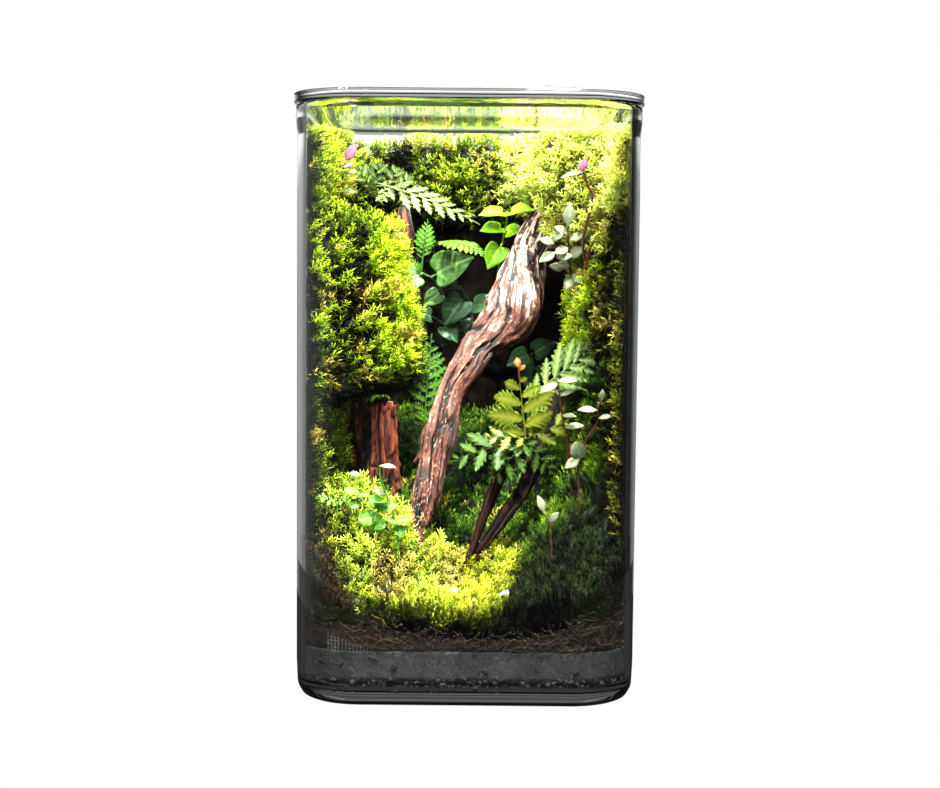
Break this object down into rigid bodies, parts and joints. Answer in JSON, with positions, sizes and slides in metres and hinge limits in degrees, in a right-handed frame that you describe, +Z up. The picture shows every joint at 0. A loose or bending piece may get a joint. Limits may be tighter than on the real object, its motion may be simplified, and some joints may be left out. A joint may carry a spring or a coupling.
{
  "type": "glass plant terrarium",
  "caption": "Tall rounded-square glass jar with a loose glass lid, planted with moss, ferns, fig and creepers on a peat bank with driftwood, over soil and gravel.",
  "frame": {"origin": "the middle of the jar's foot, on the surface it stands on", "axes": "+Z up through the lid; -Y out of the open planted side that is looked into; +X to its right"},
  "size_m": [0.202, 0.202, 0.349],
  "materials": {
    "jar_glass": "clear moulded soda-lime glass, polished",
    "lid_glass": "clear pressed glass, polished",
    "gravel": "dark washed lava gravel, matt and pitted",
    "separator": "woven grey plastic screen",
    "soil": "moist fibrous potting soil, crumbly",
    "peat": "damp packed peat, dark and fibrous",
    "driftwood": "weathered driftwood with long open grain",
    "dark_root": "wet dark root, grooved",
    "red_bark": "cracked red-brown bark plates",
    "moss_bright": "dense cushion moss, bright green tips",
    "moss_lime": "feathery moss in full light, lime tips",
    "moss_straw": "dry straw-coloured moss with green shoots",
    "moss_green": "upright hair moss, mid green",
    "moss_deep": "shaded moss, deep green",
    "fern_pale": "thin matt frond, pale bluish green",
    "fern_green": "thin frond, fresh green",
    "fern_bright": "young frond, yellow green with rusty tips",
    "clubmoss": "scaly sprays, light green",
    "fig_bright": "smooth young leaf, yellow green",
    "fig_green": "smooth leaf, dark green with paler veins",
    "fig_shade": "smooth leaf in shade, bluish green",
    "creeper": "fleshy leaf, pale grey green with pink edges and stems",
    "seedling": "tender leaf, fresh light green",
    "grit": "white crystalline grit"
  },
  "bodies": {
    "root": {"jar": "jar_glass", "lid": "lid_glass", "drainage_gravel": "gravel", "separator_mesh": "separator", "soil": "soil", "peat_bank": "peat", "driftwood": "driftwood", "forked_root": "dark_root", "bark_stump": "red_bark", "bark_chip": "red_bark", "moss_front_left": "moss_bright", "moss_front_middle": "moss_straw", "moss_front_right": "moss_green", "moss_glade": "moss_deep", "moss_left_column": "moss_bright", "moss_left_foot": "moss_green", "moss_left_top": "moss_green", "moss_back_top": "moss_green", "moss_right_brow": "moss_lime", "moss_right_shoulder": "moss_lime", "moss_right_column": "moss_bright", "moss_right_foot": "moss_deep", "fern_upper_left": "fern_pale", "clubmoss_upright": "clubmoss", "clubmoss_drooping": "clubmoss", "fern_left_column": "fern_green", "fern_right": "fern_pale", "fern_bright": "fern_bright", "fern_far_left": "fern_green", "fig_bright": "fig_bright", "fig_left": "fig_green", "fig_shade": "fig_shade", "fig_behind_wood": "fig_shade", "creeper_upper_left": "creeper", "creeper_tall": "creeper", "creeper_cluster": "creeper", "creeper_right_low": "creeper", "creeper_right_tall": "creeper", "creeper_foot_right": "creeper", "seedling_tall": "seedling", "seedling_patch": "seedling", "grit_left": "grit", "grit_front_left": "grit", "grit_front_right": "grit"}
  },
  "joints": []
}
